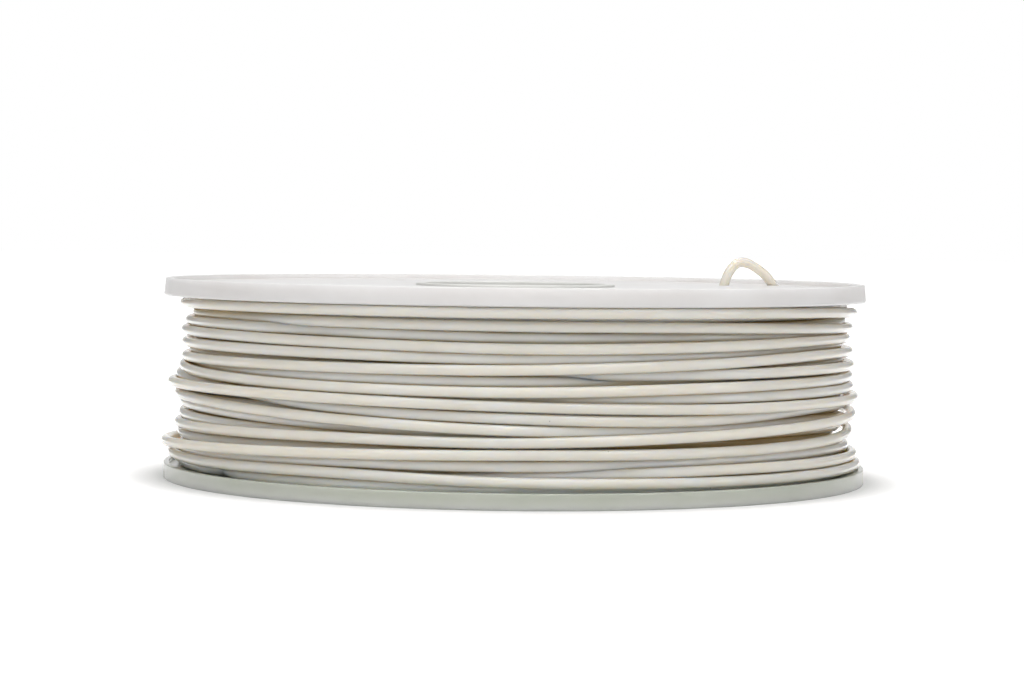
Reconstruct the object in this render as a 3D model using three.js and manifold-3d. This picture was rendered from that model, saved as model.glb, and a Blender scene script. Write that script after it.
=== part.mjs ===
// Filament spool: two moulded flanges clamp a winding barrel on a spoked hub core,
// and a full load of 2.85 mm filament is wound between them.
// Millimetres, +Z up. The spool stands on its lower flange, with the bore's axis on Z
// and the origin on the surface that the lower rim rests on.

import * as THREE from 'three';
import { mergeVertices } from 'three/addons/utils/BufferGeometryUtils.js';
import Module from 'manifold-3d';

// ---- Driving dimensions ------------------------------------------------------------

const SEAT_GAP = 0.3;             // clearance between pieces that touch

// Whole spool
const SPOOL_HEIGHT = 56.4;
const FLANGE_RADIUS = 100;
const BORE_RADIUS = 26;

// Flanges
const RIM_HEIGHT = 4.4;           // rim's height along the axis
const RIM_WIDTH = 2.6;            // rim's width on the outer side
const LIP_WIDTH = 1.6;            // rim's width on the winding side
const FLOOR_RECESS = 1.5;         // outer floor lies this far below the rim
const WEB_THICKNESS = 2.0;        // flange's plate
const UPPER_DRAFT = 0.4;          // upper rim widens by this towards the winding
const UPPER_CORNER = 1.0;         // round on the upper rim's winding-side corner
const LOWER_DRAFT = 0;
const LOWER_CORNER = 0.3;
const RIM_EDGE = 0.25;            // small round on the rim's outer-side corner
const BARREL_SEAT_DEPTH = 0.8;    // groove in the plate that the barrel's end sits in

// Slots that the filament's loose end is tucked through
const SLOT_ANGLE = 30.3;          // degrees, the pair that holds the end
const SLOT_PAIRS = 4;             // pairs, evenly spaced round each flange
const SLOT_INSET = 8.4;           // outer slot's middle, in from the flange's edge
const SLOT_SPACING = 19.4;        // inner slot's middle, in from the outer one's
const SLOT_LENGTH = 7.2;          // along the radius, end to end
const SLOT_WIDTH = 3.8;

// Hub core
const BORE_WALL = 2.5;
const COLLAR_DROP = 0.8;          // bore tube's ends lie this far below the rims
const COLLAR_ROUND = 0.5;
const BEAD_HEIGHT = 0.5;          // snap bead that holds a flange on the bore tube
const SPOKES = 6;
const SPOKE_THICKNESS = 1.8;
const FOOT_THICKNESS = 1.6;       // curved foot that each spoke presses on the barrel
const FOOT_WIDTH = 14;

// Winding barrel
const BARREL_RADIUS = 52.5;
const BARREL_WALL = 2.0;
const ANCHOR_ANGLE = 90;          // degrees, hole that holds the filament's first end
const ANCHOR_HEIGHT = 12;         // hole's middle above the rest surface
const ANCHOR_HOLE = 3.8;          // its diameter

// Filament
const FILAMENT_DIAMETER = 2.85;
const CORE_TOP_CLEARANCE = 2.0;   // wound mass ends this far below the upper plate
const CORE_SHOULDER = 5;          // its upper edge falls away by this
const LAYER_INSET = 4.4;          // outer layer's mean centre line, in from the rim
const LAYER_BACKING = 3.6;        // wound mass, in from the outer layer's centre line
const LAYER_PITCH = 3.27;         // least rise of one turn
const LAYER_HEADROOM = 3.2;       // last turn's centre line, below the upper plate
const LAYER_END_ANGLE = 14.3;     // degrees, where the last turn hands over to the end
const FEED_TURN = 0.05;           // part of a turn in which the strand leaves the core
const SLOW_WAVE = { height: 0.55, perTurn: 0.61, phase: 0.4 };
const FAST_WAVE = { height: 0.35, perTurn: 1.37, phase: 1.0 };
const LOOSE_TURNS = [             // turns that stand proud of the layer
  { turn: 0.8, rise: 2.2, spread: 0.4 },
  { turn: 2.06, rise: 3.75, spread: 0.4 },
  { turn: 6.8, rise: 2.3, spread: 0.5 },
];
const TAIL_LENGTH = 9;            // first end, inside the barrel
const TAIL_TURN = 10;             // degrees that it swings aside
const TAIL_DROP = 2.5;
const LOOP_APPROACH = [           // loose end under the upper plate, in diameters:
  { out: 0.105, side: -4.56, rise: 0.035 },   // out from the layer's mean radius,
  { out: 0.14, side: -2.63, rise: 0.07 },     // aside from the slots' line, and up
  { out: 0.035, side: -1.19, rise: 0.175 },   // from the layer's top
];
const LOOP_HEIGHT = 7.0;          // its arch's centre line, above the plate's outer side
const LOOP_ARCH = [               // part of the way out from the inner to the outer slot,
  { part: 0.943, rise: 0.014 },   // and part of the arch's height
  { part: 0.861, rise: 0.271 },
  { part: 0.763, rise: 0.514 },
  { part: 0.665, rise: 0.686 },
  { part: 0.562, rise: 0.843 },
  { part: 0.454, rise: 0.957 },
  { part: 0.335, rise: 1 },
  { part: 0.232, rise: 0.914 },
  { part: 0.149, rise: 0.7 },
  { part: 0.082, rise: 0.443 },
  { part: 0.026, rise: 0.057 },
];

// Facets
const ROUND_STEPS = 64;           // steps round the flanges, the barrel and the wound mass
const BORE_STEPS = 48;            // steps round the bore tube
const TURN_STEPS = 24;            // steps in one turn of filament
const LAYER_SIDES = 6;
const END_SIDES = 10;
const END_STEPS = 44;
const ARC_STEPS = 4;              // steps in a quarter round of a profile

const FILAMENT_RADIUS = FILAMENT_DIAMETER / 2;
const PLATE_FACE = FLOOR_RECESS + WEB_THICKNESS;   // winding-side face of the lower plate
const COLLAR_RADIUS = BORE_RADIUS + BORE_WALL;
const BARREL_INSIDE = BARREL_RADIUS - BARREL_WALL;
const OUTER_SLOT_RADIUS = FLANGE_RADIUS - SLOT_INSET;
const INNER_SLOT_RADIUS = OUTER_SLOT_RADIUS - SLOT_SPACING;
const LAYER_RADIUS = FLANGE_RADIUS - LAYER_INSET;
const CORE_RADIUS = LAYER_RADIUS - LAYER_BACKING;
const LAYER_BOTTOM = PLATE_FACE + SEAT_GAP + FILAMENT_RADIUS;
const LAYER_TOP = SPOOL_HEIGHT - PLATE_FACE - LAYER_HEADROOM;
const LAYER_STEPS = Math.floor((LAYER_TOP - LAYER_BOTTOM) / LAYER_PITCH * TURN_STEPS);
const LAYER_TURNS = LAYER_STEPS / TURN_STEPS;

// ---- Materials ---------------------------------------------------------------------

function plastic(color, roughness) {
  return new THREE.MeshStandardMaterial({ color, roughness, metalness: 0 });
}

const MILKY = () => plastic(0xdededc, 0.35);
const GLASSY = () => plastic(0xb9bfb6, 0.2);
const NATURAL = () => plastic(0xd8d8d2, 0.35);
const OFF_WHITE = () => plastic(0xe9e3dc, 0.4);

// ---- Solids ------------------------------------------------------------------------

const wasm = await Module();
wasm.setup();

function toSolid(geometry) {
  const bare = geometry.clone();
  bare.deleteAttribute('normal');
  bare.deleteAttribute('uv');
  const merged = mergeVertices(bare, 1e-4);
  return new wasm.Manifold(new wasm.Mesh({
    numProp: 3,
    vertProperties: new Float32Array(merged.attributes.position.array),
    triVerts: new Uint32Array(merged.index.array),
  }));
}

function toGeometry(solid) {
  const mesh = solid.getMesh();
  const geometry = new THREE.BufferGeometry();
  geometry.setAttribute('position', new THREE.BufferAttribute(mesh.vertProperties, 3));
  geometry.setIndex(new THREE.BufferAttribute(mesh.triVerts, 1));
  geometry.computeVertexNormals();
  return geometry;
}

function named(name, geometry, material) {
  const mesh = new THREE.Mesh(geometry, material);
  mesh.name = name;
  return mesh;
}

// Turns a closed [radius, height] outline round Z.
function turned(outline, steps = ROUND_STEPS) {
  const points = outline.map(([radius, height]) => new THREE.Vector2(radius, height));
  points.push(points[0].clone());
  const geometry = new THREE.LatheGeometry(points, steps);
  geometry.rotateX(Math.PI / 2);
  return geometry;
}

// Points of an arc between two angles, in degrees.
function arc(centreRadius, centreHeight, radius, from, to, steps = ARC_STEPS) {
  const points = [];
  for (let i = 0; i <= steps; i += 1) {
    const angle = THREE.MathUtils.degToRad(from + (to - from) * i / steps);
    points.push([centreRadius + radius * Math.cos(angle), centreHeight + radius * Math.sin(angle)]);
  }
  return points;
}

function polar(radius, degrees, height) {
  const angle = THREE.MathUtils.degToRad(degrees);
  return new THREE.Vector3(radius * Math.cos(angle), radius * Math.sin(angle), height);
}

// A closed tube of the given number of sides through the points, one ring at each.
// The rings' first corner points to the side given, as far as the path lets it.
function sweptTube(points, radius, sides, side) {
  const positions = [];
  const indices = [];
  let across = side.clone();
  points.forEach((point, i) => {
    const before = points[Math.max(i - 1, 0)];
    const after = points[Math.min(i + 1, points.length - 1)];
    const ahead = after.clone().sub(before).normalize();
    across = across.addScaledVector(ahead, -across.dot(ahead)).normalize();
    const up = ahead.clone().cross(across);
    for (let s = 0; s < sides; s += 1) {
      const angle = 2 * Math.PI * s / sides;
      const corner = point.clone()
        .addScaledVector(across, radius * Math.cos(angle))
        .addScaledVector(up, radius * Math.sin(angle));
      positions.push(corner.x, corner.y, corner.z);
    }
  });
  const last = (points.length - 1) * sides;
  for (let i = 0; i < points.length - 1; i += 1) {
    for (let s = 0; s < sides; s += 1) {
      const a = i * sides + s;
      const b = i * sides + (s + 1) % sides;
      indices.push(a, b, b + sides, a, b + sides, a + sides);
    }
  }
  for (let s = 1; s < sides - 1; s += 1) {
    indices.push(0, s + 1, s, last, last + s, last + s + 1);
  }
  const geometry = new THREE.BufferGeometry();
  geometry.setAttribute('position', new THREE.Float32BufferAttribute(positions, 3));
  geometry.setIndex(indices);
  return geometry;
}

// ---- Flanges -----------------------------------------------------------------------

// Half outline of a flange that lies with its outer side down.
function flangeOutline(draft, corner) {
  const hole = COLLAR_RADIUS + SEAT_GAP;
  const beadHeight = FLOOR_RECESS + WEB_THICKNESS / 2;
  const beadRoom = BEAD_HEIGHT + SEAT_GAP;
  const seatFloor = PLATE_FACE - BARREL_SEAT_DEPTH;
  const rimFoot = FLANGE_RADIUS - draft;
  return [
    [hole, FLOOR_RECESS],
    [FLANGE_RADIUS - RIM_WIDTH, FLOOR_RECESS],
    [FLANGE_RADIUS - RIM_WIDTH, RIM_EDGE],
    [FLANGE_RADIUS - RIM_WIDTH + RIM_EDGE, 0],
    ...arc(rimFoot - RIM_EDGE, RIM_EDGE, RIM_EDGE, -90, 0, 2),
    ...arc(FLANGE_RADIUS - corner, RIM_HEIGHT - corner, corner, 0, 90),
    [FLANGE_RADIUS - LIP_WIDTH, RIM_HEIGHT],
    [FLANGE_RADIUS - LIP_WIDTH, PLATE_FACE],
    [BARREL_RADIUS + SEAT_GAP, PLATE_FACE],
    [BARREL_RADIUS + SEAT_GAP, seatFloor],
    [BARREL_INSIDE - SEAT_GAP, seatFloor],
    [BARREL_INSIDE - SEAT_GAP, PLATE_FACE],
    [hole, PLATE_FACE],
    [hole, beadHeight + beadRoom],
    [hole + BEAD_HEIGHT, beadHeight],
    [hole, beadHeight - beadRoom],
  ];
}

// A slot with round ends, along X, tall enough to cut right through a flange.
function slotCutter() {
  const half = SLOT_WIDTH / 2;
  const reach = SLOT_LENGTH / 2 - half;
  const shape = new THREE.Shape();
  shape.absarc(reach, 0, half, -Math.PI / 2, Math.PI / 2);
  shape.absarc(-reach, 0, half, Math.PI / 2, 3 * Math.PI / 2);
  const geometry = new THREE.ExtrudeGeometry(shape, {
    depth: 2 * RIM_HEIGHT,
    bevelEnabled: false,
    curveSegments: 4,
  });
  return geometry.translate(0, 0, -RIM_HEIGHT / 2);
}

function flangeSolid(draft, corner, firstSlot) {
  let solid = toSolid(turned(flangeOutline(draft, corner)));
  for (let pair = 0; pair < SLOT_PAIRS; pair += 1) {
    const angle = THREE.MathUtils.degToRad(firstSlot + 360 * pair / SLOT_PAIRS);
    for (const radius of [OUTER_SLOT_RADIUS, INNER_SLOT_RADIUS]) {
      const cutter = slotCutter().translate(radius, 0, 0).rotateZ(angle);
      solid = solid.subtract(toSolid(cutter));
    }
  }
  return toGeometry(solid);
}

function lowerFlange() {
  return named('lower_flange', flangeSolid(LOWER_DRAFT, LOWER_CORNER, SLOT_ANGLE), GLASSY());
}

// The same moulding turned over about the X axis, so its slots' angles change sign.
function upperFlange() {
  const flange = named('upper_flange', flangeSolid(UPPER_DRAFT, UPPER_CORNER, -SLOT_ANGLE), MILKY());
  flange.rotation.x = Math.PI;
  flange.position.z = SPOOL_HEIGHT;
  return flange;
}

// ---- Hub core: bore tube with spokes -------------------------------------------------

function boreTubeOutline() {
  const bottom = COLLAR_DROP;
  const top = SPOOL_HEIGHT - COLLAR_DROP;
  const bead = FLOOR_RECESS + WEB_THICKNESS / 2;
  const round = COLLAR_ROUND;
  return [
    ...arc(BORE_RADIUS + round, bottom + round, round, 180, 270, 2),
    ...arc(COLLAR_RADIUS - round, bottom + round, round, -90, 0, 2),
    [COLLAR_RADIUS, bead - BEAD_HEIGHT],
    [COLLAR_RADIUS + BEAD_HEIGHT, bead],
    [COLLAR_RADIUS, bead + BEAD_HEIGHT],
    [COLLAR_RADIUS, SPOOL_HEIGHT - bead - BEAD_HEIGHT],
    [COLLAR_RADIUS + BEAD_HEIGHT, SPOOL_HEIGHT - bead],
    [COLLAR_RADIUS, SPOOL_HEIGHT - bead + BEAD_HEIGHT],
    ...arc(COLLAR_RADIUS - round, top - round, round, 0, 90, 2),
    ...arc(BORE_RADIUS + round, top - round, round, 90, 180, 2),
  ];
}

// Plan of one spoke along X, with a curved foot that lies on the barrel's inside.
function spokeShape() {
  const outer = BARREL_INSIDE - SEAT_GAP;
  const inner = outer - FOOT_THICKNESS;
  const half = SPOKE_THICKNESS / 2;
  const spread = FOOT_WIDTH / 2 / outer;
  const neck = Math.asin(half / inner);
  const shape = new THREE.Shape();
  shape.moveTo(BORE_RADIUS + BORE_WALL / 2, -half);
  shape.lineTo(inner * Math.cos(neck), -half);
  shape.absarc(0, 0, inner, -neck, -spread, true);
  shape.absarc(0, 0, outer, -spread, spread, false);
  shape.absarc(0, 0, inner, spread, neck, true);
  shape.lineTo(BORE_RADIUS + BORE_WALL / 2, half);
  shape.closePath();
  return shape;
}

function hubCore() {
  const bottom = PLATE_FACE + SEAT_GAP;
  const spoke = new THREE.ExtrudeGeometry(spokeShape(), {
    depth: SPOOL_HEIGHT - 2 * bottom,
    bevelEnabled: false,
    curveSegments: 4,
  });
  let solid = toSolid(turned(boreTubeOutline(), BORE_STEPS));
  for (let i = 0; i < SPOKES; i += 1) {
    const copy = spoke.clone().translate(0, 0, bottom).rotateZ(2 * Math.PI * i / SPOKES);
    solid = solid.add(toSolid(copy));
  }
  return named('hub_core', toGeometry(solid), NATURAL());
}

// ---- Winding barrel ------------------------------------------------------------------

function windingBarrel() {
  const bottom = PLATE_FACE - BARREL_SEAT_DEPTH + SEAT_GAP;
  const top = SPOOL_HEIGHT - bottom;
  const tube = toSolid(turned([
    [BARREL_INSIDE, bottom],
    [BARREL_RADIUS, bottom],
    [BARREL_RADIUS, top],
    [BARREL_INSIDE, top],
  ]));
  const drill = new THREE.CylinderGeometry(ANCHOR_HOLE / 2, ANCHOR_HOLE / 2, 4 * BARREL_WALL, 16);
  drill.rotateZ(Math.PI / 2);
  drill.translate(BARREL_RADIUS - BARREL_WALL / 2, 0, ANCHOR_HEIGHT);
  drill.rotateZ(THREE.MathUtils.degToRad(ANCHOR_ANGLE));
  return named('winding_barrel', toGeometry(tube.subtract(toSolid(drill))), NATURAL());
}

// ---- Filament --------------------------------------------------------------------------

// Centre line of the outer layer. turn counts from 0 at the bottom row; below 0 the
// strand is still diving out of the wound mass.
function layerPoint(turn) {
  const startAngle = LAYER_END_ANGLE - 360 * LAYER_TURNS;
  const pitch = (LAYER_TOP - LAYER_BOTTOM) / LAYER_TURNS;
  const wave = ({ height, perTurn, phase }) => height * Math.sin(2 * Math.PI * perTurn * turn + phase);
  let radius = LAYER_RADIUS + wave(SLOW_WAVE) + wave(FAST_WAVE);
  for (const { turn: middle, rise, spread } of LOOSE_TURNS) {
    radius += rise * Math.exp(-(((turn - middle) / spread) ** 2));
  }
  const dive = Math.max(0, -turn) / FEED_TURN;
  radius -= FILAMENT_DIAMETER * 1.5 * dive;
  return polar(radius, startAngle + 360 * turn, LAYER_BOTTOM + pitch * Math.max(turn, 0));
}

function layerPoints() {
  return Array.from({ length: LAYER_STEPS + 1 }, (_, i) => layerPoint(i / TURN_STEPS));
}

// Least clear distance between stretches of the tube that are not next to each other.
function leastSelfGap(corners, diameter) {
  const samples = [];
  const perStep = 4;
  for (let i = 0; i < corners.length - 1; i += 1) {
    for (let k = 0; k < perStep; k += 1) {
      samples.push(corners[i].clone().lerp(corners[i + 1], k / perStep));
    }
  }
  const apart = perStep * TURN_STEPS / 4;
  let least = Infinity;
  for (let i = 0; i < samples.length; i += 1) {
    for (let j = i + apart; j < samples.length; j += 1) {
      least = Math.min(least, samples[i].distanceToSquared(samples[j]));
    }
  }
  return Math.sqrt(least) - diameter;
}

function outerLayer() {
  const points = layerPoints();
  console.log('outer layer least gap to itself, mm:',
    leastSelfGap(points, FILAMENT_DIAMETER).toFixed(3));
  const outward = points[0].clone().setZ(0).normalize();
  return named('filament_outer_layer',
    sweptTube(points, FILAMENT_RADIUS, LAYER_SIDES, outward), OFF_WHITE());
}

// The wound mass, and on it the stub of strand that feeds the outer layer. It gives
// way wherever the loose end would lie in it.
function filamentCore() {
  const bottom = PLATE_FACE + SEAT_GAP;
  const top = SPOOL_HEIGHT - PLATE_FACE - CORE_TOP_CLEARANCE;
  const inside = BARREL_RADIUS + SEAT_GAP;
  const mass = toSolid(turned([
    [inside, bottom],
    [CORE_RADIUS, bottom],
    [CORE_RADIUS, top - CORE_SHOULDER],
    ...arc(CORE_RADIUS - CORE_SHOULDER, top - CORE_SHOULDER, CORE_SHOULDER, 0, 90).slice(1),
    [inside, top],
  ]));
  const [start, next] = layerPoints();
  const back = start.clone().sub(next).normalize();
  const face = start.clone().addScaledVector(back, SEAT_GAP);
  const straight = face.clone().addScaledVector(back, FILAMENT_DIAMETER);
  const route = [face, straight, layerPoint(-FEED_TURN / 2), layerPoint(-FEED_TURN)];
  const stub = sweptTube(route, FILAMENT_RADIUS, LAYER_SIDES, start.clone().setZ(0).normalize());
  const room = endLoopTube((FILAMENT_RADIUS + SEAT_GAP) / Math.cos(Math.PI / END_SIDES));
  const wound = mass.subtract(toSolid(room)).add(toSolid(stub));
  return named('filament_core', toGeometry(wound), OFF_WHITE());
}

// Loose end: it leaves the last turn, comes out through the outer slot of the pair,
// arches over the plate and goes back in through the inner slot.
function endLoopRoute() {
  const floor = SPOOL_HEIGHT - FLOOR_RECESS;
  const plate = SPOOL_HEIGHT - PLATE_FACE;
  const corners = layerPoints();
  const last = corners[corners.length - 1];
  const ahead = last.clone().sub(corners[corners.length - 2]).normalize();
  const at = (radius, side, height) => new THREE.Vector3(radius, side, height)
    .applyAxisAngle(new THREE.Vector3(0, 0, 1), THREE.MathUtils.degToRad(SLOT_ANGLE));
  const outer = OUTER_SLOT_RADIUS;
  const inner = INNER_SLOT_RADIUS;
  const halfway = (LAYER_RADIUS + outer) / 2;
  const wide = FILAMENT_DIAMETER;
  return [
    last.clone().addScaledVector(ahead, SEAT_GAP),
    last.clone().addScaledVector(ahead, SEAT_GAP + wide),
    ...LOOP_APPROACH.map(({ out, side, rise }) => (
      at(LAYER_RADIUS + out * wide, side * wide, LAYER_TOP + rise * wide))),
    at(halfway + 0.28 * wide, -0.14 * wide, plate - 0.6 * wide),
    at(outer + 0.32 * wide, 0, plate),
    ...LOOP_ARCH.map(({ part, rise }) => (
      at(inner + part * (outer - inner), 0, floor + rise * LOOP_HEIGHT))),
    at(inner - 0.1 * wide, 0, plate),
    at(inner - 0.2 * wide, 0, plate - 0.32 * wide),
  ];
}

// The loose end as a tube of the radius given.
function endLoopTube(radius) {
  const curve = new THREE.CatmullRomCurve3(endLoopRoute(), false, 'centripetal');
  const points = curve.getSpacedPoints(END_STEPS);
  return sweptTube(points, radius, END_SIDES, points[0].clone().setZ(0).normalize());
}

function endLoop() {
  return named('filament_end_loop', endLoopTube(FILAMENT_RADIUS), OFF_WHITE());
}

// First end: it passes in through the barrel's anchor hole and bends down behind it.
function startEnd() {
  const reach = BARREL_RADIUS - BARREL_WALL - SEAT_GAP;
  const route = new THREE.CatmullRomCurve3([
    polar(BARREL_RADIUS, ANCHOR_ANGLE, ANCHOR_HEIGHT),
    polar(reach, ANCHOR_ANGLE, ANCHOR_HEIGHT),
    polar(reach - FILAMENT_DIAMETER, ANCHOR_ANGLE, ANCHOR_HEIGHT),
    polar(reach - 0.6 * TAIL_LENGTH, ANCHOR_ANGLE - 0.4 * TAIL_TURN, ANCHOR_HEIGHT - 0.4 * TAIL_DROP),
    polar(reach - 0.8 * TAIL_LENGTH, ANCHOR_ANGLE - TAIL_TURN, ANCHOR_HEIGHT - TAIL_DROP),
  ], false, 'centripetal');
  return named('filament_start_end',
    sweptTube(route.getSpacedPoints(12), FILAMENT_RADIUS, END_SIDES, new THREE.Vector3(0, 0, 1)),
    OFF_WHITE());
}

// ---- Assembly --------------------------------------------------------------------------

const spool = new THREE.Group();
spool.add(
  lowerFlange(),
  upperFlange(),
  hubCore(),
  windingBarrel(),
  filamentCore(),
  outerLayer(),
  endLoop(),
  startEnd(),
);

export default spool;
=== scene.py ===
"""Filament spool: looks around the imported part.

Lengths below are millimetres unless a name says otherwise; to_mesh() turns them
into metres. An azimuth is measured round the spool's axis from the side that faces
the camera, and grows towards the right of the picture.
"""

import math

import bpy
import numpy as np
from mathutils import Matrix, Vector

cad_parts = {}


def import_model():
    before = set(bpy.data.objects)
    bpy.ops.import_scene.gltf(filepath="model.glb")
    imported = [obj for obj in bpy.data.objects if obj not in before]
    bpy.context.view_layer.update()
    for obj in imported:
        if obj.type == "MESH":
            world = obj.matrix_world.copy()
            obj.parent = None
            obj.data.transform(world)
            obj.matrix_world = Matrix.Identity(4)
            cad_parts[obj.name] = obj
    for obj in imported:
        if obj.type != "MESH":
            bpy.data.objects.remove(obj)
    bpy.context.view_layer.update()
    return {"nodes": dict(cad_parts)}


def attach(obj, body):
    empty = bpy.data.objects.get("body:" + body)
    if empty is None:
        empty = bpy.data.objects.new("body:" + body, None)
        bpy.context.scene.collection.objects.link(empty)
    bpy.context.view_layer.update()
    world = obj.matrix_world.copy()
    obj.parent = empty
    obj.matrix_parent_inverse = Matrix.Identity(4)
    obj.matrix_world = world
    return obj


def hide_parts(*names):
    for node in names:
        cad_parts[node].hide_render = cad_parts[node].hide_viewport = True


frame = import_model()

MM = 0.001
BODY = "root"
CAMERA_SIDE = -90.0          # degrees from +X, where azimuth 0 is

# ---- Sizes, the same as the solids' ---------------------------------------------------

SPOOL_HEIGHT = 56.4
FLANGE_RADIUS = 100.0
BORE_RADIUS = 26.0
BORE_WALL = 2.5
COLLAR_DROP = 0.8            # bore tube's ends lie this far below the rims
COLLAR_ROUND = 0.5
SEAT_GAP = 0.3

RIM_HEIGHT = 4.4
RIM_WIDTH = 2.6              # on the outer side
LIP_WIDTH = 1.6              # on the winding side
FLOOR_RECESS = 1.5
WEB_THICKNESS = 2.0
UPPER_DRAFT = 0.4            # upper rim widens by this towards the winding
LOWER_DRAFT = 0.0
LOWER_CORNER = 0.3
RIM_EDGE = 0.25

SLOT_ANGLE = 30.3            # degrees from +X
SLOT_PAIRS = 4
SLOT_INSET = 8.4             # outer slot's middle, in from the flange's edge
SLOT_SPACING = 19.4          # inner slot's middle, in from the outer one's
SLOT_LENGTH = 7.2
SLOT_WIDTH = 3.8

BARREL_RADIUS = 52.5
BARREL_WALL = 2.0
BARREL_SEAT_DEPTH = 0.8
ANCHOR_HEIGHT = 12.0         # hole in the barrel that holds the first end

SPOKES = 6
SPOKE_THICKNESS = 1.8
FOOT_THICKNESS = 1.6
FOOT_WIDTH = 14.0

FILAMENT = 2.85              # strand's diameter

PLATE_FACE = FLOOR_RECESS + WEB_THICKNESS
COLLAR_RADIUS = BORE_RADIUS + BORE_WALL
OUTER_SLOT_RADIUS = FLANGE_RADIUS - SLOT_INSET
INNER_SLOT_RADIUS = OUTER_SLOT_RADIUS - SLOT_SPACING
INSIDE_BARREL = BARREL_RADIUS - BARREL_WALL - SEAT_GAP
OUTSIDE_BARREL = BARREL_RADIUS + SEAT_GAP

# ---- Sizes of the looks alone ---------------------------------------------------------

UPPER_RIM_HEIGHT = 4.9       # in the photo the upper rim reaches a little lower
UPPER_CORNER = 0.5
LIP_EDGE = 0.2
FLOOR_FILLET = 0.4
EDGE_HOLD = 0.15             # flat strip beside an edge, so that its rounding stays narrow
CUTTER_OVERHANG = 1.0        # how far a slot's cutter stands out of the flange

FLANGE_STEPS = 256           # steps round the axis
BORE_STEPS = 160
MASS_STEPS = 192
FILLET_STEPS = 4             # steps in a small quarter round
LIP_STEPS = 3
SLOT_END_POINTS = 9          # points in the round end of a slot
FOOT_EDGE_POINTS = 5         # points in each inner stretch of a spoke's foot
FOOT_FACE_POINTS = 12
SHARP_ANGLE = 35             # degrees, from which an edge is shown sharp
STRAND_SHARP_ANGLE = 80

# ---- The turns that show --------------------------------------------------------------

# Each row is one turn, from the last one wound down to the first, so a turn's left end
# is carried round the back to the right end of the row below it. The numbers are the
# height of the strand's centre line and its distance from the axis at each azimuth.
AZIMUTHS = (-90, -60, -30, 0, 30, 60, 90)
TURNS = (
    ((49.3, 49.9, 50.0, 50.0, 50.0, 49.5, 48.2), (93.2, 96.4, 98.2, 98.4, 98.4, 97.6, 95.6)),
    ((50.6, 51.1, 51.3, 51.3, 51.3, 51.1, 50.6), (91.5, 93.8, 96.2, 96.4, 96.4, 95.6, 92.5)),
    ((46.9, 46.9, 46.8, 46.5, 46.2, 45.2, 44.2), (89.8, 92.6, 95.4, 95.7, 95.7, 95.5, 94.9)),
    ((44.5, 44.8, 44.3, 43.5, 43.6, 43.4, 42.5), (92.2, 93.8, 94.9, 94.0, 92.8, 93.2, 93.3)),
    ((41.8, 42.0, 41.5, 40.8, 41.2, 41.9, 41.3), (93.5, 94.6, 95.6, 95.9, 95.8, 95.0, 94.1)),
    ((38.4, 38.8, 38.6, 38.1, 38.8, 39.9, 39.5), (93.2, 94.8, 95.5, 95.0, 93.6, 92.4, 91.8)),
    ((34.6, 34.9, 35.1, 35.4, 36.7, 38.0, 37.5), (93.6, 94.8, 95.6, 95.9, 95.7, 95.4, 95.1)),
    ((36.6, 36.2, 35.6, 34.2, 34.0, 34.2, 33.7), (92.0, 92.2, 92.2, 92.8, 95.2, 96.0, 95.5)),
    ((33.1, 32.8, 32.6, 32.3, 32.8, 35.2, 35.3), (91.0, 91.8, 94.4, 94.2, 92.6, 92.2, 92.4)),
    ((32.2, 31.0, 30.0, 29.7, 30.6, 30.9, 30.8), (94.0, 95.0, 95.8, 96.0, 96.0, 95.6, 95.1)),
    ((30.5, 29.3, 28.6, 27.8, 27.9, 28.0, 27.8), (93.2, 92.8, 92.0, 92.0, 94.8, 95.6, 95.4)),
    ((27.0, 27.5, 27.1, 26.1, 25.1, 25.0, 24.6), (97.6, 97.2, 96.7, 95.8, 96.0, 96.6, 97.0)),
    ((29.2, 27.9, 24.6, 23.0, 22.2, 23.6, 23.4), (95.6, 93.0, 94.6, 95.6, 95.5, 94.0, 94.4)),
    ((15.5, 16.3, 17.0, 16.9, 18.1, 19.5, 20.2), (95.6, 95.8, 96.0, 96.2, 96.4, 96.5, 96.2)),
    ((24.1, 23.7, 21.8, 20.0, 19.6, 20.2, 18.4), (95.5, 95.7, 95.9, 96.0, 94.4, 92.4, 93.8)),
    ((21.6, 21.5, 20.0, 18.3, 17.9, 17.6, 17.0), (95.0, 94.9, 93.0, 92.0, 92.0, 92.4, 93.6)),
    ((10.0, 11.6, 12.9, 13.8, 13.9, 14.5, 15.6), (99.6, 98.6, 97.4, 96.5, 96.2, 95.7, 95.2)),
    ((18.4, 18.2, 17.5, 16.8, 15.9, 15.1, 14.4), (94.5, 93.9, 92.2, 91.5, 91.5, 91.5, 91.5)),
    ((12.6, 13.3, 13.8, 13.3, 12.7, 12.6, 12.0), (94.9, 94.0, 92.4, 92.0, 92.0, 92.0, 92.4)),
    ((8.9, 9.2, 10.6, 10.8, 11.6, 11.8, 10.9), (95.0, 94.6, 95.0, 95.3, 94.8, 94.2, 94.4)),
    ((7.2, 7.4, 7.9, 6.8, 6.3, 6.1, 5.9), (97.6, 97.0, 96.5, 96.4, 96.7, 97.2, 97.8)),
    ((5.0, 5.1, 6.2, 8.0, 9.2, 9.1, 8.6), (95.0, 94.0, 93.4, 94.2, 96.1, 96.7, 96.8)),
    ((5.0, 5.0, 5.0, 5.0, 5.0, 5.0, 5.0), (90.0, 93.6, 95.6, 95.8, 95.8, 96.3, 97.1)),
)
LAYER_END = 105.0            # azimuth where the last turn hands over to the loose end
BACK_BULGE = 5.0             # how much further out the turns lie behind, where none is seen
BULGE_LIMITS = (96.6, 98.4)  # how far out the first and the last turn may bulge
TURN_STEPS = 144             # steps round the spool
STRAND_SIDES = 14
SMOOTHING = 2                # steps on each side over which a strand eases in and out

# Turns behind the ones that show
BACKING_RADIUS = 94.4
BACKING_BULGE = 2.4          # added at the back
BACKING_PITCH = 3.0
BACKING_BOTTOM = 5.0
BACKING_TOP = 51.0
BACKING_SIDES = 10

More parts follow.
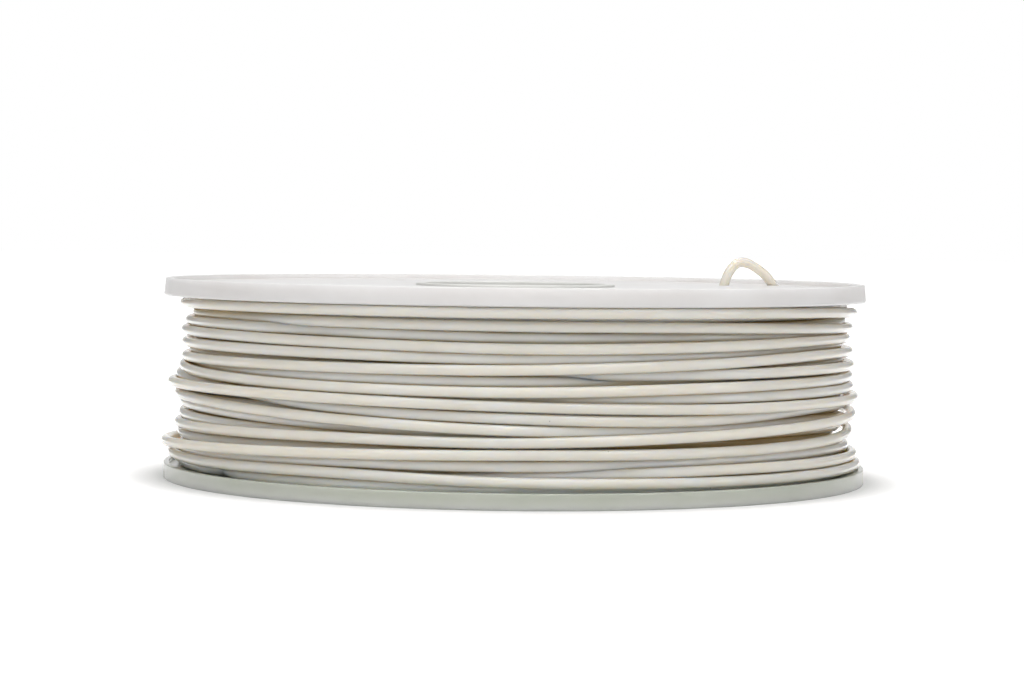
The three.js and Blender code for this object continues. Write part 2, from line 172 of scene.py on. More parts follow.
# Plain wound mass under them
MASS_RADIUS = 90.2
MASS_TOP = 52.5
RIDGE_STEPS = 6              # steps in the back of one turn, on its faces
OPEN_RADIUS = 94.6           # from here outwards the filament has its own pale colour; further in, its colour carries painted shade

# Loose end. Under the plate: distance from the axis, aside from the slots' line, height.
LOOP_OVERLAP = 0.4           # how far it reaches back into the last turn
LOOP_APPROACH = ((95.8, -13.0, 49.8), (95.8, -7.5, 50.2), (95.6, -3.4, 50.6))
# Over the plate, as in the solids: part of the way from the inner slot to the outer one,
# and part of the arch's height.
LOOP_ARCH = ((0.943, 0.014), (0.861, 0.271), (0.763, 0.514), (0.665, 0.686), (0.562, 0.843),
             (0.454, 0.957), (0.335, 1.0), (0.232, 0.914), (0.149, 0.7), (0.082, 0.443),
             (0.026, 0.057))
LOOP_HEIGHT = 6.95           # a little less than the solids' 7
LOOP_STEPS = 160

# First end, inside the barrel: aside, in from the barrel, down from the anchor hole
TAIL = ((0.0, 1.0, 0.0), (1.5, 4.0, 0.5), (4.5, 6.5, 1.6), (8.0, 7.5, 2.6))
TAIL_STEPS = 24


# ---- Meshes ---------------------------------------------------------------------------

def add_object(name, data):
    obj = bpy.data.objects.new(name, data)
    bpy.context.scene.collection.objects.link(obj)
    return obj


def shade(mesh, sharp_angle):
    """Smooth shading, with a sharp edge where faces meet at more than the angle."""
    mesh.shade_smooth()
    mesh.set_sharp_from_angle(angle=math.radians(sharp_angle))


def to_mesh(name, vertices, faces, sharp_angle=SHARP_ANGLE):
    """A piece on the spool's body, from vertices in millimetres."""
    mesh = bpy.data.meshes.new(name)
    mesh.from_pydata([tuple(float(c) * MM for c in v) for v in vertices], [], faces)
    mesh.validate()
    obj = add_object(name, mesh)
    shade(mesh, sharp_angle)
    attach(obj, BODY)
    return obj


def arc(centre_r, centre_z, radius, start, end, steps=8):
    """(radius, height) points of an arc between two angles in degrees."""
    points = []
    for i in range(steps + 1):
        angle = math.radians(start + (end - start) * i / steps)
        points.append((centre_r + radius * math.cos(angle), centre_z + radius * math.sin(angle)))
    return points


def round_stretch(radius, start, end, count):
    """(x, y) points round the origin between two angles in radians."""
    return [(radius * math.cos(a), radius * math.sin(a)) for a in np.linspace(start, end, count)]


def rotated(points, angle):
    """(x, y) points turned round the origin by an angle in radians."""
    cos, sin = math.cos(angle), math.sin(angle)
    return [(x * cos - y * sin, x * sin + y * cos) for x, y in points]


def turned(outline, steps):
    """Vertices and faces of a closed (radius, height) outline turned round Z."""
    count = len(outline)
    vertices = []
    for i in range(steps):
        angle = 2 * math.pi * i / steps
        vertices += [(r * math.cos(angle), r * math.sin(angle), z) for r, z in outline]
    faces = []
    for i in range(steps):
        a, b = i * count, (i + 1) % steps * count
        for k in range(count):
            n = (k + 1) % count
            faces.append((a + k, b + k, b + n, a + n))
    return vertices, faces


def extruded(plan, low, high):
    """Vertices and faces of a closed (x, y) plan raised from one height to another."""
    count = len(plan)
    vertices = [(x, y, z) for z in (low, high) for x, y in plan]
    faces = [(k, (k + 1) % count, (k + 1) % count + count, k + count) for k in range(count)]
    faces += [tuple(range(count))[::-1], tuple(range(count, 2 * count))]
    return vertices, faces


def tube(points, sides):
    """Vertices and faces of a capped strand along the points."""
    points = np.asarray(points, dtype=float)
    ahead = np.gradient(points, axis=0)
    ahead /= np.linalg.norm(ahead, axis=1)[:, None]
    across = points[0] * (1, 1, 0)
    angles = 2 * np.pi * np.arange(sides) / sides
    vertices = []
    for point, direction in zip(points, ahead):
        across = across - direction * across.dot(direction)
        across = across / np.linalg.norm(across)
        up = np.cross(direction, across)
        ring = np.outer(np.cos(angles), across) + np.outer(np.sin(angles), up)
        vertices.extend(point + FILAMENT / 2 * ring)
    faces = []
    for i in range(len(points) - 1):
        for s in range(sides):
            a, b = i * sides + s, i * sides + (s + 1) % sides
            faces.append((a, b, b + sides, a + sides))
    last = (len(points) - 1) * sides
    faces.append(tuple(range(sides))[::-1])
    faces.append(tuple(range(last, last + sides)))
    return vertices, faces


def joined(*solids):
    """Several (vertices, faces) as one."""
    vertices, faces = [], []
    for more, more_faces in solids:
        base = len(vertices)
        vertices.extend(more)
        faces.extend(tuple(base + k for k in face) for face in more_faces)
    return vertices, faces


def cut(obj, cutter):
    """Takes the cutter's shape out of obj, and the cutter out of the scene."""
    modifier = obj.modifiers.new("cut", "BOOLEAN")
    modifier.operation = "DIFFERENCE"
    modifier.solver = "EXACT"
    modifier.object = cutter
    bpy.context.view_layer.update()
    evaluated = obj.evaluated_get(bpy.context.evaluated_depsgraph_get())
    mesh = bpy.data.meshes.new_from_object(evaluated)
    obj.modifiers.clear()
    obj.data = mesh
    shade(mesh, SHARP_ANGLE)
    bpy.data.objects.remove(cutter)


# ---- Flanges --------------------------------------------------------------------------

def flange_outline(rim_height, draft, corner):
    """Half outline of a flange that lies with its outer side down."""
    hole = COLLAR_RADIUS + SEAT_GAP
    seat_floor = PLATE_FACE - BARREL_SEAT_DEPTH
    inner, foot = FLANGE_RADIUS - RIM_WIDTH, FLANGE_RADIUS - draft
    lip = FLANGE_RADIUS - LIP_WIDTH
    fillet, hold = FLOOR_FILLET, EDGE_HOLD
    return [
        (hole, FLOOR_RECESS),
        (inner - fillet - hold, FLOOR_RECESS),
        *arc(inner - fillet, FLOOR_RECESS - fillet, fillet, 90, 0, FILLET_STEPS),
        *arc(inner + RIM_EDGE, RIM_EDGE, RIM_EDGE, 180, 270, FILLET_STEPS),
        *arc(foot - RIM_EDGE, RIM_EDGE, RIM_EDGE, -90, 0, FILLET_STEPS),
        (foot, RIM_EDGE + hold),
        (FLANGE_RADIUS, rim_height - corner - hold),
        *arc(FLANGE_RADIUS - corner, rim_height - corner, corner, 0, 90),
        *arc(lip + LIP_EDGE, rim_height - LIP_EDGE, LIP_EDGE, 90, 180, LIP_STEPS),
        (lip, PLATE_FACE),
        (OUTSIDE_BARREL, PLATE_FACE),
        (OUTSIDE_BARREL, seat_floor),
        (INSIDE_BARREL, seat_floor),
        (INSIDE_BARREL, PLATE_FACE),
        (hole, PLATE_FACE),
    ]


def slot_cutters(first_angle):
    """Round-ended bars where the flange's slots go."""
    half = SLOT_WIDTH / 2
    reach = SLOT_LENGTH / 2 - half
    end = round_stretch(half, -math.pi / 2, math.pi / 2, SLOT_END_POINTS)
    plan = [(reach + x, y) for x, y in end]
    plan += [(-x, -y) for x, y in plan]
    bars = []
    for pair in range(SLOT_PAIRS):
        angle = math.radians(first_angle + 360 * pair / SLOT_PAIRS)
        for radius in (OUTER_SLOT_RADIUS, INNER_SLOT_RADIUS):
            bar = rotated([(x + radius, y) for x, y in plan], angle)
            bars.append(extruded(bar, -CUTTER_OVERHANG, RIM_HEIGHT + CUTTER_OVERHANG))
    return joined(*bars)


def turned_over(solid):
    """The solid turned over about X, onto the spool's upper side."""
    vertices, faces = solid
    return [(x, -y, SPOOL_HEIGHT - z) for x, y, z in vertices], faces


def flange(name, node, outline, upper, material):
    """A flange with its slots. Turning it over turns the sign of their angle too."""
    body = turned(outline, FLANGE_STEPS)
    bars = slot_cutters(-SLOT_ANGLE if upper else SLOT_ANGLE)
    if upper:
        body, bars = turned_over(body), turned_over(bars)
    obj = to_mesh(name, *body)
    cut(obj, to_mesh("slot_bars", *bars))
    obj.data.materials.clear()
    obj.data.materials.append(material)
    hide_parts(node)


# ---- Hub ------------------------------------------------------------------------------

def bore_tube():
    """The tube whose ends are the collars."""
    low, high, r = COLLAR_DROP, SPOOL_HEIGHT - COLLAR_DROP, COLLAR_ROUND
    return turned([
        *arc(BORE_RADIUS + r, low + r, r, 180, 270, FILLET_STEPS),
        *arc(COLLAR_RADIUS - r, low + r, r, -90, 0, FILLET_STEPS),
        *arc(COLLAR_RADIUS - r, high - r, r, 0, 90, FILLET_STEPS),
        *arc(BORE_RADIUS + r, high - r, r, 90, 180, FILLET_STEPS),
    ], BORE_STEPS)


def spoke(index):
    """One spoke with its curved foot, from plate to plate."""
    root = BORE_RADIUS + BORE_WALL / 2
    outer = INSIDE_BARREL
    inner = outer - FOOT_THICKNESS
    half = SPOKE_THICKNESS / 2
    edge, neck = FOOT_WIDTH / 2 / outer, math.asin(half / inner)
    plan = [(root, -half)]
    plan += round_stretch(inner, -neck, -edge, FOOT_EDGE_POINTS)
    plan += round_stretch(outer, -edge, edge, FOOT_FACE_POINTS)
    plan += round_stretch(inner, edge, neck, FOOT_EDGE_POINTS)
    plan += [(root, half)]
    low = PLATE_FACE + SEAT_GAP
    return extruded(rotated(plan, 2 * math.pi * index / SPOKES), low, SPOOL_HEIGHT - low)


def hub(material):
    """Bore tube and spokes as one moulding."""
    obj = to_mesh("hub_with_spokes", *joined(bore_tube(), *(spoke(i) for i in range(SPOKES))))
    obj.data.materials.append(material)
    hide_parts("hub_core")


# ---- Filament: routes -----------------------------------------------------------------

def smooth_curve(knots, values, at):
    """Values at the places given, on a smooth curve through the knots."""
    knots, values = np.asarray(knots, float), np.asarray(values, float)
    slopes = np.gradient(values, knots)
    i = np.clip(np.searchsorted(knots, at, side="right") - 1, 0, len(knots) - 2)
    step = knots[i + 1] - knots[i]
    t = (at - knots[i]) / step
    return (values[i] * (1 + 2 * t) * (1 - t) ** 2 + slopes[i] * step * t * (1 - t) ** 2
            + values[i + 1] * t * t * (3 - 2 * t) + slopes[i + 1] * step * t * t * (t - 1))


def smooth_route(points, steps):
    """Evenly spaced points on a smooth curve through the points given."""
    points = np.array(points)
    lengths = np.linalg.norm(np.diff(points, axis=0), axis=1)
    along = np.concatenate(([0], np.cumsum(lengths)))
    at = np.linspace(0, along[-1], steps)
    return np.column_stack([smooth_curve(along, values, at) for values in points.T])


def step_azimuths(turns):
    """Azimuth of every step of so many turns, counted on from turn to turn."""
    return AZIMUTHS[0] + 360 * np.arange(turns * TURN_STEPS) / TURN_STEPS


def around(radii, azimuths, heights):
    """Points at these distances from the axis."""
    angle = np.radians(azimuths + CAMERA_SIDE)
    return np.column_stack((radii * np.cos(angle), radii * np.sin(angle), heights))


def behind(azimuth):
    """0 on the half that faces the camera, rising to 1 at the back."""
    return np.maximum(0, -np.cos(np.radians(azimuth)))


def layer_path():
    """Height and wished-for radius of every turn at every step, first turn first."""
    turns = TURNS[::-1]
    count = len(turns)
    knots = [360 * index + azimuth for index in range(count) for azimuth in AZIMUTHS]
    heights = np.concatenate([row_heights for row_heights, row_radii in turns])
    radii = np.concatenate([row_radii for row_heights, row_radii in turns])
    at = np.minimum(step_azimuths(count), knots[-1])
    traced = smooth_curve(knots, radii, at)
    limit = np.interp(at, (at[0], at[-1]), BULGE_LIMITS)
    wished = np.maximum(traced, np.minimum(traced + BACK_BULGE * behind(at), limit))
    return (smooth_curve(knots, heights, at).reshape(count, TURN_STEPS),
            wished.reshape(count, TURN_STEPS))


def backing_path():
    """Height and wished-for radius of the turns behind, at every step."""
    rows = int((BACKING_TOP - BACKING_BOTTOM) / BACKING_PITCH) + 1
    rise = (BACKING_TOP - BACKING_BOTTOM) / (rows - 1)
    turn = np.arange(rows)[:, None] + np.arange(TURN_STEPS) / TURN_STEPS
    heights = np.minimum(BACKING_BOTTOM + rise * turn, BACKING_TOP)
    radius = BACKING_RADIUS + BACKING_BULGE * behind(step_azimuths(1))
    return heights, np.tile(radius, (rows, 1))


def pressed_in(heights, radii, shown):
    """Radii at one azimuth, with each strand pressed in by those in front of it.

    The first ones are the strands that show; those after them lie behind all of these.
    """
    placed = []
    result = np.array(radii)
    order = [*np.argsort(-radii[:shown]), *range(shown, len(radii))]
    for i in order:
        for j in placed:
            apart = abs(heights[i] - heights[j])
            if apart < FILAMENT:
                result[i] = min(result[i], result[j] - math.sqrt(FILAMENT ** 2 - apart ** 2))
        placed.append(i)
    return result


def eased(values):
    """The same values along a strand, with short kinks taken out."""
    width = 2 * SMOOTHING + 1
    padded = np.pad(values, SMOOTHING, mode="edge")
    return np.convolve(padded, np.ones(width) / width, mode="valid")


def strand_points(radii, heights):
    """Points of one strand, from its radius and height at every step of every turn."""
    return around(eased(radii.ravel()), step_azimuths(len(radii)), heights.ravel())


def wound_strands():
    """Points of the strand that shows, and of the turns behind it."""
    shown = len(TURNS)
    heights, radii = (np.vstack(both) for both in zip(layer_path(), backing_path()))
    pressed = np.column_stack([pressed_in(heights[:, step], radii[:, step], shown)
                               for step in range(TURN_STEPS)])
    front = strand_points(pressed[:shown], heights[:shown])
    back = strand_points(pressed[shown:], heights[shown:])
    last = np.searchsorted(step_azimuths(shown), 360 * (shown - 1) + LAYER_END)
    return front[:last + 1], back


def loop_points(start, before):
    """Loose end, from the layer's last point through the slots."""
    floor = SPOOL_HEIGHT - FLOOR_RECESS
    plate = SPOOL_HEIGHT - PLATE_FACE
    outer, inner = OUTER_SLOT_RADIUS, INNER_SLOT_RADIUS
    start = Vector(start)
    ahead = (start - Vector(before)).normalized()
    by_slots = [*LOOP_APPROACH, (94.4, -0.4, plate - 1.7), (outer + 0.9, 0, plate)]
    by_slots += [(inner + part * (outer - inner), 0, floor + rise * LOOP_HEIGHT)
                 for part, rise in LOOP_ARCH]
    by_slots += [(inner - 0.3, 0, plate), (inner - 0.6, 0, plate - 0.9)]
    places = rotated([(radius, side) for radius, side, height in by_slots],
                     math.radians(SLOT_ANGLE))
    route = [tuple(start - ahead * LOOP_OVERLAP), tuple(start + ahead * FILAMENT)]
    route += [(x, y, height) for (x, y), (_, _, height) in zip(places, by_slots)]
    return smooth_route(route, LOOP_STEPS)


def tail_points():
    """First end, through the barrel's wall and down behind it."""
    route = [(0, BARREL_RADIUS, ANCHOR_HEIGHT)]
    route += [(aside, INSIDE_BARREL - inwards, ANCHOR_HEIGHT - down)
              for aside, inwards, down in TAIL]
    return smooth_route(route, TAIL_STEPS)


# ---- Filament: pieces -----------------------------------------------------------------

def mass_outline():
    """Wound mass in section, with the turns' backs as ridges on its two faces."""
    bottom = PLATE_FACE + SEAT_GAP
    ridges = int((MASS_RADIUS - OUTSIDE_BARREL) / FILAMENT)
    pitch = (MASS_RADIUS - OUTSIDE_BARREL) / ridges
    half = pitch / 2
    low, high = [], []
    for k in range(ridges):
        middle = OUTSIDE_BARREL + pitch * (k + 0.5)
        low += arc(middle, bottom + half, half, 180, 360, RIDGE_STEPS)[:-1]
        high += arc(middle, MASS_TOP - half, half, 180, 0, RIDGE_STEPS)[:-1]
    low.append((MASS_RADIUS, bottom + half))
    high.append((MASS_RADIUS, MASS_TOP - half))
    return low + high[::-1]


def strand(name, points):
    return to_mesh(name, *tube(points, STRAND_SIDES), sharp_angle=STRAND_SHARP_ANGLE)


def wound_mass(core, back, plain, wound):
    """The wound mass in the plain material, and the turns behind in the wound one, which carries
    painted shade.
    """
    obj = to_mesh("wound_mass", *joined(core, back), sharp_angle=STRAND_SHARP_ANGLE)
    obj.data.materials.append(plain)
    obj.data.materials.append(wound)
    core_faces = len(core[1])
    for face in obj.data.polygons[core_faces:]:
        face.material_index = 1
    return obj


def filament():
    """The strand that shows, the mass and turns behind it, and both ends."""
    # the wound copy carries painted shade; the plain one has the filament's own colour
    wound, plain = filament_material("filament_painted_shade", True), filament_material("filament", False)
    front, back = wound_strands()
    layer = strand("wound_strand", front)
    mass = wound_mass(turned(mass_outline(), MASS_STEPS), tube(back, BACKING_SIDES), plain, wound)
    end = strand("loose_end", loop_points(front[-1], front[-2]))
    anchor = strand("first_end", tail_points())
    layer.data.materials.append(wound)
    for obj in (end, anchor):
        obj.data.materials.append(plain)
    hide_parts("filament_outer_layer")
    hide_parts("filament_core")
    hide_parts("filament_end_loop")
    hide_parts("filament_start_end")


# ---- Shader nodes ---------------------------------------------------------------------

NOISE_RANGE = (0.3, 0.7)     # where nearly all values of a noise texture lie


def new_material(name):
    material = bpy.data.materials.new(name)
    material.use_nodes = True
    nodes = material.node_tree.nodes
    return material, nodes, material.node_tree.links, nodes["Principled BSDF"]


def linear(red, green, blue):
    """A colour given as 0 to 255, as the shader wants it."""
    def channel(value):
        value /= 255
        return value / 12.92 if value <= 0.04045 else ((value + 0.055) / 1.055) ** 2.4
    return channel(red), channel(green), channel(blue), 1


def grey(level):
    return level, level, level, 1


def coordinate(nodes, space="Object"):
    return nodes.new("ShaderNodeTexCoord").outputs[space]


def axes_of(nodes, links, vector):
    """The vector's parts, as outputs named X, Y and Z."""
    node = nodes.new("ShaderNodeSeparateXYZ")
    links.new(vector, node.inputs[0])
    return node.outputs


def length_of(nodes, links, vector):
    node = nodes.new("ShaderNodeVectorMath")
    node.operation = "LENGTH"
    links.new(vector, node.inputs[0])
    return node.outputs["Value"]


def magnitude(nodes, links, value):
    node = nodes.new("ShaderNodeMath")
    node.operation = "ABSOLUTE"
    links.new(value, node.inputs[0])
    return node.outputs[0]


def above(nodes, links, value, threshold):
    """1 where the value is over the threshold, else 0."""
    node = nodes.new("ShaderNodeMath")
    node.operation = "GREATER_THAN"
    links.new(value, node.inputs[0])
    node.inputs[1].default_value = threshold
    return node.outputs[0]


def largest(nodes, links, first, *others):
    """The largest of several values."""
    for other in others:
        node = nodes.new("ShaderNodeMath")
        node.operation = "MAXIMUM"
        links.new(first, node.inputs[0])
        links.new(other, node.inputs[1])
        first = node.outputs[0]
    return first


def spread(nodes, links, value, from_range, to_range=(0.0, 1.0)):
    """The value's first range laid over the second, and held inside it."""
    node = nodes.new("ShaderNodeMapRange")
    node.inputs["From Min"].default_value, node.inputs["From Max"].default_value = from_range
    node.inputs["To Min"].default_value, node.inputs["To Max"].default_value = to_range
    links.new(value, node.inputs["Value"])
    return node.outputs["Result"]


def ramp(nodes, links, value, stops):
    """Colour that goes with the value, between (place, colour) stops."""
    node = nodes.new("ShaderNodeValToRGB")
    elements = node.color_ramp.elements
    while len(elements) < len(stops):
        elements.new(0.5)
    for element, (place, colour) in zip(elements, stops):
        element.position = place
        element.color = colour
    links.new(value, node.inputs["Fac"])
    return node.outputs["Color"]


def grey_ramp(nodes, links, value, stops):
    """Grey that goes with the value, between (place, level) stops."""
    return ramp(nodes, links, value, [(place, grey(level)) for place, level in stops])


def blended(nodes, links, first, second, blend="MULTIPLY"):
    """Two colours as one, multiplied unless another blend is named."""
    node = nodes.new("ShaderNodeMix")
    node.data_type = "RGBA"
    node.blend_type = blend
    node.inputs["Factor"].default_value = 1.0
    links.new(first, node.inputs["A"])
    links.new(second, node.inputs["B"])
    return node.outputs["Result"]


def noise(nodes, links, grain, detail=2.0):
    """Soft noise whose blotches are about the grain across, in millimetres."""
    node = nodes.new("ShaderNodeTexNoise")
    node.inputs["Scale"].default_value = 1 / (grain * MM)
    node.inputs["Detail"].default_value = detail
    links.new(coordinate(nodes), node.inputs["Vector"])
    return node.outputs["Fac"]


def clouds(nodes, links, dark, light, grain, detail=2.0):
    """Colour that drifts between two others."""
    low, high = NOISE_RANGE
    return ramp(nodes, links, noise(nodes, links, grain, detail),
                [(low, linear(*dark)), (high, linear(*light))])


def uneven_gloss(nodes, links, shader, roughness, grain):
    """Roughness that drifts through a range."""
    pattern = noise(nodes, links, grain)
    links.new(spread(nodes, links, pattern, NOISE_RANGE, roughness), shader.inputs["Roughness"])


def relief(nodes, links, shader, height, grain, detail=2.0):
    """Fine relief this many millimetres high."""
    node = nodes.new("ShaderNodeBump")
    node.inputs["Strength"].default_value = 1.0
    node.inputs["Distance"].default_value = height * MM
    links.new(noise(nodes, links, grain, detail), node.inputs["Height"])
    links.new(node.outputs["Normal"], shader.inputs["Normal"])


def scattering(shader, tint, reach):
    """Light that spreads inside the plastic, as far as the reach in millimetres."""
    shader.inputs["Subsurface Weight"].default_value = 1.0
    shader.inputs["Subsurface Radius"].default_value = tint
    shader.inputs["Subsurface Scale"].default_value = reach * MM


# ---- Materials ------------------------------------------------------------------------

SPECK_SPACING = 3.0          # cells in which a speck of dirt may lie
SPECK_SIZE = 0.16            # speck's radius
SPECK_SHARE = 0.035          # part of the cells that have one
PAINTED_SHADE_REACH = 2.2            # how far to look for the next strand, for the painted crevice shade
PAINTED_SHADE_SAMPLES = 8

DIRT = linear(150, 135, 115)
NO_DIRT_OR_SHADE = linear(255, 255, 255)
# Painted shade: the wound filament turns warm brown the further in a strand lies
PAINTED_DEEP_SHADE = ((0.0, linear(247, 214, 160)), (0.35, linear(250, 222, 174)),
              (0.7, linear(254, 244, 226)), (1.0, NO_DIRT_OR_SHADE))
# Painted shade: warm brown in the crevices where strands meet
PAINTED_CREVICE_SHADE = ((0.0, linear(255, 228, 190)), (0.12, linear(255, 244, 228)),
               (0.35, linear(255, 253, 249)), (0.6, NO_DIRT_OR_SHADE))
# Green-grey cast at the top of the rim; towards the foot the colour is paled by painted light
GREEN_GREY_AND_PAINTED_FOOT_LIGHT = ((0.0, linear(252, 255, 247)), (1.0, linear(208, 212, 202)))


def specks(nodes, links):
    """1 on clean plastic, 0 on a few small specks of dirt."""
    cells = nodes.new("ShaderNodeTexVoronoi")
    cells.inputs["Scale"].default_value = 1 / (SPECK_SPACING * MM)
    links.new(coordinate(nodes), cells.inputs["Vector"])
    cell = nodes.new("ShaderNodeSeparateColor")
    links.new(cells.outputs["Color"], cell.inputs[0])
    beside_speck = above(nodes, links, cells.outputs["Distance"], SPECK_SIZE / SPECK_SPACING)
    empty_cell = above(nodes, links, cell.outputs["Red"], SPECK_SHARE)
    return largest(nodes, links, beside_speck, empty_cell)


def openness(nodes):
    """1 where a strand lies in the open, 0 where it meets the next one; the painted crevice shade
    follows it.
    """
    node = nodes.new("ShaderNodeAmbientOcclusion")
    node.samples = PAINTED_SHADE_SAMPLES
    node.only_local = True
    node.inputs["Distance"].default_value = PAINTED_SHADE_REACH * MM
    return node.outputs["AO"]


def depth_in_winding(nodes, links):
    """0 at the wound mass, 1 out where the last strands lie; the painted shade on strands that
    lie far in follows it.
    """
    axes = axes_of(nodes, links, coordinate(nodes))
    flat = nodes.new("ShaderNodeCombineXYZ")
    for axis in ("X", "Y"):
        links.new(axes[axis], flat.inputs[axis])
    distance = length_of(nodes, links, flat.outputs[0])
    return spread(nodes, links, distance, (MASS_RADIUS * MM, OPEN_RADIUS * MM))


def height_in_rim(nodes, links):
    """0 at the lower flange's foot, 1 at the top of its rim; the painted foot light follows it.
    """
    height = axes_of(nodes, links, coordinate(nodes))["Z"]
    return spread(nodes, links, height, (0.0, RIM_HEIGHT * MM))


def filament_material(name, wound):
    """Off-white plastic. With wound set, its colour carries painted shade: warm brown where
    strands meet and where they lie far in.
    """
    material, nodes, links, shader = new_material(name)
    tone = clouds(nodes, links, dark=(223, 216, 205), light=(228, 222, 213), grain=14.0)
    dirt = ramp(nodes, links, specks(nodes, links), ((0.0, DIRT), (1.0, NO_DIRT_OR_SHADE)))
    colour = blended(nodes, links, tone, dirt)
    if wound:
        # painted shade: warm brown on strands that lie far in
        painted_deep_shade = ramp(nodes, links, depth_in_winding(nodes, links), PAINTED_DEEP_SHADE)
        # painted shade: warm brown where strands meet
        painted_crevice_shade = ramp(nodes, links, openness(nodes), PAINTED_CREVICE_SHADE)
        colour = blended(nodes, links, blended(nodes, links, colour, painted_deep_shade), painted_crevice_shade)
    links.new(colour, shader.inputs["Base Color"])
    uneven_gloss(nodes, links, shader, roughness=(0.09, 0.15), grain=6.0)
    relief(nodes, links, shader, height=0.004, grain=1.2, detail=3.0)
    scattering(shader, tint=(1.0, 0.8, 0.55), reach=5.0)
    return material


def milky_material():
    """Milky white moulding: faint flow clouds and a slightly uneven gloss."""
    material, nodes, links, shader = new_material("milky_plastic")
    tone = clouds(nodes, links, dark=(237, 234, 232), light=(241, 239, 238),
                  grain=22.0, detail=3.0)
    links.new(tone, shader.inputs["Base Color"])
    uneven_gloss(nodes, links, shader, roughness=(0.29, 0.37), grain=5.0)
    relief(nodes, links, shader, height=0.003, grain=4.0)
    scattering(shader, tint=(1.0, 1.0, 1.0), reach=2.5)
    shader.inputs["Transmission Weight"].default_value = 0.1
    shader.inputs["IOR"].default_value = 1.45
    return material


def glassy_material():
    """Cloudy, glassy moulding with a green-grey cast, painted paler towards its foot as painted
    light from the floor.
    """
    material, nodes, links, shader = new_material("glassy_plastic")
    tone = clouds(nodes, links, dark=(248, 250, 244), light=(255, 255, 252),
                  grain=16.0, detail=3.0)
    # painted light: the colour grows paler towards the rim's foot
    tint_and_painted_foot_light = ramp(nodes, links, height_in_rim(nodes, links), GREEN_GREY_AND_PAINTED_FOOT_LIGHT)
    links.new(blended(nodes, links, tone, tint_and_painted_foot_light), shader.inputs["Base Color"])
    uneven_gloss(nodes, links, shader, roughness=(0.08, 0.18), grain=5.0)
    relief(nodes, links, shader, height=0.006, grain=2.5, detail=3.0)
    scattering(shader, tint=(1.0, 1.0, 0.95), reach=4.0)
    shader.inputs["Transmission Weight"].default_value = 0.35
    shader.inputs["IOR"].default_value = 1.5
    return material


def hub_material():
    """Plain off-white plastic with the fine grain of a mould."""
    material, nodes, links, shader = new_material("natural_plastic")
    tone = clouds(nodes, links, dark=(222, 221, 217), light=(229, 229, 226),
                  grain=12.0, detail=3.0)
    links.new(tone, shader.inputs["Base Color"])
    uneven_gloss(nodes, links, shader, roughness=(0.28, 0.4), grain=3.0)
    relief(nodes, links, shader, height=0.01, grain=0.8, detail=3.0)
    return material


# ---- Stage: lengths in metres ---------------------------------------------------------

CAMERA_PLACE = (-0.00078, -0.8079, 0.07155)
CAMERA_DOWN = 2.31           # degrees
CAMERA_ROLL = 0.654          # degrees
CAMERA_LENS = 98.9           # millimetres, as is the sensor
SENSOR_WIDTH = 36.0
CAMERA_REACH = 50.0

LAMP_TARGET = (0.0, 0.0, 0.03)
LAMPS = (                    # name, place, width and height, watts
    ("overhead", (0.0, -0.5, 1.25), (1.8, 0.4), 11.5),
    ("overhead_behind", (0.0, 0.6, 1.2), (0.9, 0.8), 5.5),
    ("front_fill", (0.0, -1.6, 0.5), (2.2, 0.9), 4.8),
    ("left_box", (-1.03, -0.95, 0.3), (0.2, 0.5), 1.0),
    ("right_box", (1.3, -0.46, 0.3), (0.25, 0.5), 1.2),
)

# Brightness by how far a direction leans: to a side, up or down, to the front or back
LIT_SIDEWAYS = ((0.0, 1.0), (0.5, 0.85), (1.0, 0.3))
LIT_UPWARDS = ((0.0, 0.52), (0.35, 0.44), (1.0, 0.3))
SEEN_BACKDROP = ((0.0, 0.4), (0.95, 0.35), (0.992, 1.0))

FLOOR_SIZE = 12.0
FLOOR_GLOW_AND_PAINTED_SHADOW = ((0.1, 0.0), (0.112, 0.4), (0.3, 0.9))   # distance from the axis, brightness; dim round the spool's foot, a painted contact shadow


def camera():
    data = bpy.data.cameras.new("camera")
    data.lens = CAMERA_LENS
    data.sensor_fit = "HORIZONTAL"
    data.sensor_width = SENSOR_WIDTH
    data.clip_end = CAMERA_REACH
    obj = add_object("camera", data)
    obj.matrix_world = (Matrix.Translation(CAMERA_PLACE)
                        @ Matrix.Rotation(math.radians(90 - CAMERA_DOWN), 4, "X")
                        @ Matrix.Rotation(math.radians(CAMERA_ROLL), 4, "Z"))
    bpy.context.scene.camera = obj


def lamp(name, place, size, watts):
    data = bpy.data.lights.new(name, "AREA")
    data.shape = "RECTANGLE"
    data.size, data.size_y = size
    data.energy = watts
    obj = add_object(name, data)
    obj.location = place
    obj.rotation_euler = (Vector(LAMP_TARGET) - Vector(place)).to_track_quat("-Z", "Y").to_euler()


def seen_or_lit(nodes, links, seen, lit):
    """One shader for rays that look at a surface, another for those that light."""
    path = nodes.new("ShaderNodeLightPath").outputs
    looking = largest(nodes, links, path["Is Camera Ray"], path["Is Glossy Ray"],
                      path["Is Transmission Ray"])
    mix = nodes.new("ShaderNodeMixShader")
    links.new(looking, mix.inputs["Fac"])
    links.new(lit, mix.inputs[1])
    links.new(seen, mix.inputs[2])
    return mix.outputs[0]


def background(nodes, links, colour):
    node = nodes.new("ShaderNodeBackground")
    links.new(colour, node.inputs["Color"])
    return node.outputs[0]


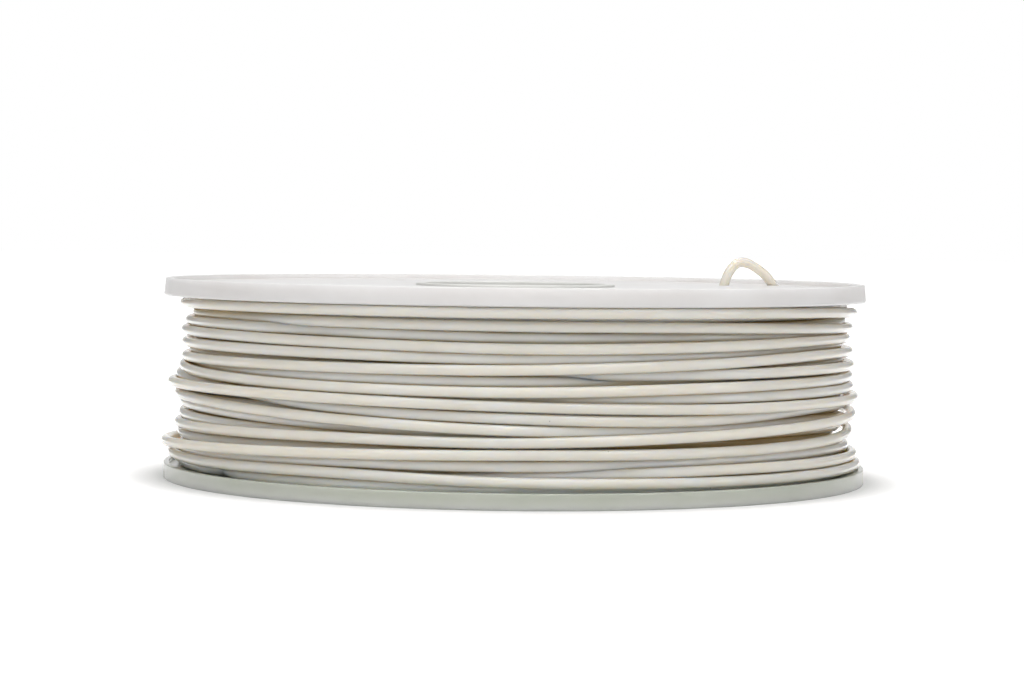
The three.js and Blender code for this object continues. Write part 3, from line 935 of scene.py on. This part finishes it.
def world():
    """The studio round the spool.

    The camera sees it white. Reflections see it grey, with white straight in front and
    behind. As a light it is dimmer towards the sides and overhead.
    """
    data = bpy.data.worlds.new("studio")
    data.use_nodes = True
    nodes, links = data.node_tree.nodes, data.node_tree.links
    nodes.clear()
    axes = axes_of(nodes, links, coordinate(nodes, "Generated"))
    sideways = grey_ramp(nodes, links, magnitude(nodes, links, axes["X"]), LIT_SIDEWAYS)
    upwards = grey_ramp(nodes, links, magnitude(nodes, links, axes["Z"]), LIT_UPWARDS)
    reflected = grey_ramp(nodes, links, magnitude(nodes, links, axes["Y"]), SEEN_BACKDROP)
    camera_ray = nodes.new("ShaderNodeLightPath").outputs["Is Camera Ray"]
    lit = background(nodes, links, blended(nodes, links, sideways, upwards))
    seen = background(nodes, links, blended(nodes, links, reflected, camera_ray, "LIGHTEN"))
    out = nodes.new("ShaderNodeOutputWorld")
    links.new(seen_or_lit(nodes, links, seen, lit), out.inputs["Surface"])
    bpy.context.scene.world = data


def floor_material():
    """Matt white that also glows where it is looked at. The glow fades out round the spool's
    foot, so the real shadow shows there and the dim ring is a painted contact shadow.
    """
    material, nodes, links, shader = new_material("white_floor")
    shader.inputs["Base Color"].default_value = grey(0.8)
    shader.inputs["Roughness"].default_value = 0.9
    shader.inputs["Specular IOR Level"].default_value = 0.0
    distance = length_of(nodes, links, coordinate(nodes))
    glow = nodes.new("ShaderNodeEmission")
    # painted contact shadow: no glow round the spool's foot
    links.new(grey_ramp(nodes, links, distance, FLOOR_GLOW_AND_PAINTED_SHADOW), glow.inputs["Color"])
    both = nodes.new("ShaderNodeAddShader")
    links.new(shader.outputs[0], both.inputs[0])
    links.new(glow.outputs[0], both.inputs[1])
    surface = seen_or_lit(nodes, links, both.outputs[0], shader.outputs[0])
    links.new(surface, nodes["Material Output"].inputs["Surface"])
    return material


def floor():
    mesh = bpy.data.meshes.new("floor")
    half = FLOOR_SIZE / 2
    mesh.from_pydata([(-half, -half, 0), (half, -half, 0), (half, half, 0), (-half, half, 0)],
                     [], [(0, 1, 2, 3)])
    obj = add_object("floor", mesh)
    mesh.materials.append(floor_material())


def studio():
    camera()
    world()
    floor()
    for name, place, size, watts in LAMPS:
        lamp(name, place, size, watts)
    bpy.context.scene.view_settings.view_transform = "Standard"


# ---- Assembly -------------------------------------------------------------------------

flange("lower_flange_moulding", "lower_flange",
       flange_outline(RIM_HEIGHT, LOWER_DRAFT, LOWER_CORNER), upper=False,
       material=glassy_material())
flange("upper_flange_moulding", "upper_flange",
       flange_outline(UPPER_RIM_HEIGHT, UPPER_DRAFT, UPPER_CORNER), upper=True,
       material=milky_material())
natural = hub_material()
hub(natural)
barrel = frame["nodes"]["winding_barrel"]
barrel.data.materials.clear()
barrel.data.materials.append(natural)
filament()
studio()
